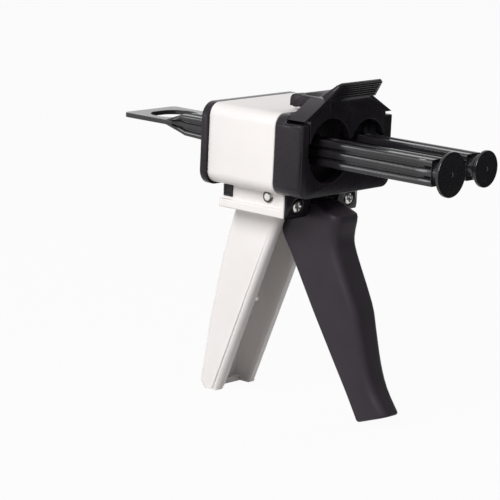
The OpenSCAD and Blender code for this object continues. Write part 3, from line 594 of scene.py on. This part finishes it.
def pushDisc(name, y, radius):
    back, rodEnd, faceBack, face = disc["back"], disc["rodEnd"], disc["faceBack"], disc["face"]
    stub, neck, collar, dimple = disc["stub"], disc["neck"], disc["collar"], disc["dimple"]
    low, high = disc["collarAt"]
    soft, narrow = disc["edge"], disc["taper"]
    steps = [(back, stub - soft), (back + soft, stub), (rodEnd, stub), (rodEnd, neck), (low, neck),
             (low, collar - soft), (low + soft, collar), (high - soft, collar), (high, collar - soft),
             (high, neck), (faceBack, neck), (faceBack, radius - narrow), (faceBack + narrow, radius),
             (face - soft, radius), (face - soft / 3, radius - soft / 4), (face, radius - soft),
             (face, dimple + soft), (face - soft, dimple)]
    return turnedPiece(name, (0, y, 0), steps, sides=disc["sides"])


largeDisc = pushDisc("large_disc", -rods["pitch"] / 2, disc["large"])
seat(largeDisc, "plunger_body", "rod_plastic", rodPlastic, "push_disc_right")
smallDisc = pushDisc("small_disc", rods["pitch"] / 2, disc["small"])
seat(smallDisc, "plunger_body", "rod_plastic", rodPlastic, "push_disc_left")
print("rods and discs ready")


# screws: a turned shank and domed head with a cross recess

noseScrew = {"y": 15.8, "z": -22.2, "seat": -2.7, "shank": 1.4, "length": 7, "head": 2.4, "thick": 1.2}
plateScrew = {"y": 22.95, "places": (9.6, -12.0), "seat": -39.3, "shank": 1.2, "length": 6.8,
              "head": 2.2, "thick": 1.2}
screwForm = {"point": 0.6, "tip": 0.7, "lip": 0.15, "dome": ((0.45, 1), (0.7, 0.94), (0.9, 0.8), (1, 0.58)),
             "arm": 0.62, "half": 0.17, "recessFrom": 0.5, "recessTo": 2, "sides": 40}


def makeScrew(form, y, z, outward):
    head, thick, shank, lip = form["head"], form["thick"], form["shank"], screwForm["lip"]
    along = lambda place: form["seat"] + outward * place
    steps = [(-form["length"], shank * screwForm["tip"]), (-form["length"] + screwForm["point"], shank),
             (0, shank), (0, head - lip), (lip, head)]
    steps += [(thick * up, head * share) for up, share in screwForm["dome"]]
    profile = [(along(place), radius) for place, radius in steps]
    screw = turnedPiece("screw", (0, y, z), profile, sides=screwForm["sides"])
    inner, outer = sorted((along(thick * screwForm["recessFrom"]), along(thick * screwForm["recessTo"])))
    arm, half = screwForm["arm"] * head, screwForm["half"] * head
    for wide, tall in ((arm, half), (half, arm)):
        slot = addBlock("slot", (inner, y - wide, z - tall), (outer, y + wide, z + tall))
        combine(screw, slot, "DIFFERENCE")
    smoothFaces(screw, smoothing["turned"])
    return screw


noseScrews = joinPieces("nose_screws", [makeScrew(noseScrew, side * noseScrew["y"], noseScrew["z"], 1)
                                        for side in (-1, 1)])
seat(noseScrews, "gun_body", "steel", steel, "bracket_screws")
plateScrews = joinPieces("plate_screws", [makeScrew(plateScrew, side * plateScrew["y"], z, -1)
                                          for side in (-1, 1) for z in plateScrew["places"]])
seat(plateScrews, "gun_body", "steel", darkSteel, "rear_plate_screws")


# pins with chamfered ends, and the small steel parts

pinForm = {"chamfer": 0.25, "sides": 32}
leverPin = {"x": -13.5, "z": -19.6, "radius": 1.5, "head": 2.3, "steps": (-20.8, -20.55, 19.6, 20.6)}
plainPins = (("latch_pin", "hood_pin", "gun_body"), ("lock_pin", "catch_pin", "gun_body"),
             ("pawl_pin", "drive_pin", "trigger_body"))
steelParts = (("trigger_pin_clip", "pin_clip", "gun_body", darkSteel, 0.12),
              ("drive_pawl", "drive_catch", "pawl_body", steel, 0.15),
              ("lock_pawl", "holding_catch", "lock_body", steel, 0.15),
              ("trigger_spring", "lever_spring", "gun_body", steel, 0),
              ("pawl_spring", "drive_spring", "trigger_body", steel, 0),
              ("lock_spring", "holding_spring", "gun_body", steel, 0))    # the last is the edge in mm


def crossPin(name, x, z, steps):    # lies across the tool
    return turnedPiece(name, (x, 0, z), steps, alongY, pinForm["sides"])


def makePin(name, node):
    low, high = (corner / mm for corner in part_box(node))
    centre = (low + high) / 2
    radius, soft = (high.z - low.z) / 2, pinForm["chamfer"]
    return crossPin(name, centre.x, centre.z, [(low.y, radius - soft), (low.y + soft, radius),
                                               (high.y - soft, radius), (high.y, radius - soft)])


def makeLeverPin():
    near, shoulder, headBack, headEnd = leverPin["steps"]
    radius, head, soft = leverPin["radius"], leverPin["head"], pinForm["chamfer"]
    return crossPin("lever_pin", leverPin["x"], leverPin["z"], [
        (near, radius - soft), (shoulder, radius), (headBack, radius), (headBack, head),
        (headEnd - soft, head), (headEnd, head - soft)])


seat(makeLeverPin(), "gun_body", "steel", steel, "trigger_pin")
for node, name, body in plainPins:
    seat(makePin(name, node), body, "steel", steel, node)
for node, name, body, finish, edge in steelParts:
    seat(softenedCopy(node, name, edge), body, "steel", finish, node)


# release bar with a sunk panel in each square end

barForm = {"endsFrom": 19, "border": 0.7, "wall": 0.15, "sunk": 0.3, "edge": 0.2}
releaseBar = softenedCopy("release_pivot", "release_bar", 0)
startEditing(releaseBar)
pickFaces(releaseBar, lambda at, out: abs(out.y) > square and abs(at.y) > barForm["endsFrom"])
bpy.ops.mesh.inset(thickness=barForm["border"] * mm, depth=0)
bpy.ops.mesh.inset(thickness=barForm["wall"] * mm, depth=-barForm["sunk"] * mm)
stopEditing()
softenEdges(releaseBar, barForm["edge"])
seat(releaseBar, "gun_body", "black_plastic", blackPlastic, "release_pivot")
print("pieces ready")


# floor, light and camera, in metres

studio = {"floorSize": 14.0, "floorDrop": 0.0004, "speck": 30, "whiteShare": 0.95, "skyLevel": 0.045,
          "floorColours": ((0.52, 0.51, 0.5), (0.49, 0.48, 0.47))}
backdropRays = ("Is Camera Ray", "Is Glossy Ray", "Is Transmission Ray")    # these see the plain white
white = (1, 1, 1, 1)
low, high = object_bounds()
clearSelection()
bpy.ops.mesh.primitive_plane_add(size=studio["floorSize"], location=(0, 0, low[2] - studio["floorDrop"]))
floor = bpy.context.object
floor.name = "studio_floor"
f = Finish("pale_floor")
speck = f.noise(studio["speck"], fine)
lit = f.add("BsdfDiffuse", None, {"Color": f.blend(speck, *studio["floorColours"])})
glow = f.add("Emission", None, {"Color": white, "Strength": 1.0})
seenBy = [f.add("LightPath", output=ray) for ray in backdropRays]
f.close(f.add("MixShader", None, {0: sum(seenBy) * studio["whiteShare"], 1: lit, 2: glow}))
floor.data.materials.append(f.material)

# dark card beyond the nose, there for the reflections in the front faces
cardForm = {"away": 0.25, "wide": 0.7, "tall": 0.36, "turn": 40.7, "weave": 2, "rough": 0.9,
            "colours": ((0.01, 0.01, 0.01), (0.02, 0.02, 0.02))}
clearSelection()
cardTurn = radians(cardForm["turn"])
cardAt = (cardForm["away"] * sin(cardTurn), cardForm["away"] * cos(cardTurn), low[2] + cardForm["tall"] / 2)
bpy.ops.mesh.primitive_plane_add(size=1, location=cardAt, rotation=(radians(90), 0, -cardTurn))
card = bpy.context.object
card.scale = (cardForm["wide"], cardForm["tall"], 1)
settle(card, "dark_card")
for ray in ("camera", "diffuse", "shadow", "transmission"):
    setattr(card, "visible_" + ray, False)
f = Finish("dark_card_cloth")
weave = f.noise(cardForm["weave"], fine)
cloth = f.done(Base_Color=f.blend(weave, *cardForm["colours"]), Roughness=cardForm["rough"])
card.data.materials.append(cloth)

world = bpy.data.worlds.new("studio_world")
bpy.context.scene.world = world
world.use_nodes = True
sky = world.node_tree
sky.nodes.clear()
dim = sky.nodes.new("ShaderNodeBackground")
dim.inputs["Color"].default_value = white
dim.inputs["Strength"].default_value = studio["skyLevel"]
bright = sky.nodes.new("ShaderNodeBackground")
bright.inputs["Color"].default_value = white
skyPath = sky.nodes.new("ShaderNodeLightPath")
skyMix = sky.nodes.new("ShaderNodeMixShader")
seen = skyPath.outputs[backdropRays[0]]
for ray in backdropRays[1:]:
    either = sky.nodes.new("ShaderNodeMath")
    either.operation = "MAXIMUM"
    sky.links.new(seen, either.inputs[0])
    sky.links.new(skyPath.outputs[ray], either.inputs[1])
    seen = either.outputs[0]
sky.links.new(seen, skyMix.inputs[0])
sky.links.new(dim.outputs[0], skyMix.inputs[1])
sky.links.new(bright.outputs[0], skyMix.inputs[2])
worldOut = sky.nodes.new("ShaderNodeOutputWorld")
sky.links.new(skyMix.outputs[0], worldOut.inputs["Surface"])

lamps = {
    "key": {"at": (0.05, -1.35, 1.0), "size": 0.9, "watts": 28.0},
    "fill": {"at": (0.1, 1.5, 0.5), "size": 1.2, "watts": 11},
    "top": {"at": (-0.1, -0.1, 1.5), "size": 1.0, "watts": 1.2},
    "front": {"at": (1.2, 0.4, 0.15), "size": 0.7, "watts": 1.3},
    "low": {"at": (-0.68, -0.8, 0.06), "size": 0.22, "watts": 0.9},
}
lampAim = Vector((-0.01, 0, -0.03))
for name, lamp in lamps.items():
    clearSelection()
    bpy.ops.object.light_add(type="AREA", location=lamp["at"])
    light = bpy.context.object
    light.name = name + "_lamp"
    light.data.size = lamp["size"]
    light.data.energy = lamp["watts"]
    light.rotation_euler = (lampAim - light.location).to_track_quat("-Z", "Y").to_euler()

view = {"lens": 178.3, "sensor": 36, "aim": (-0.02485, -0.01601, -0.04316), "distance": 0.9731,
        "azimuth": 40.67, "elevation": 11.73, "roll": 2.64, "farClip": 30}
clearSelection()
azimuth, elevation = radians(view["azimuth"]), radians(view["elevation"])
back = Vector((sin(azimuth) * cos(elevation), -cos(azimuth) * cos(elevation), sin(elevation)))
bpy.ops.object.camera_add(location=Vector(view["aim"]) + back * view["distance"])
camera = bpy.context.object
camera.name = "photo_camera"
camera.data.lens = view["lens"]
camera.data.sensor_width = view["sensor"]
camera.data.clip_end = view["farClip"]
turn = (-back).to_track_quat("-Z", "Y").to_matrix() @ Matrix.Rotation(radians(view["roll"]), 3, "Z")
camera.rotation_euler = turn.to_euler()
bpy.context.scene.camera = camera
bpy.context.scene.view_settings.view_transform = "Standard"
print("studio ready")
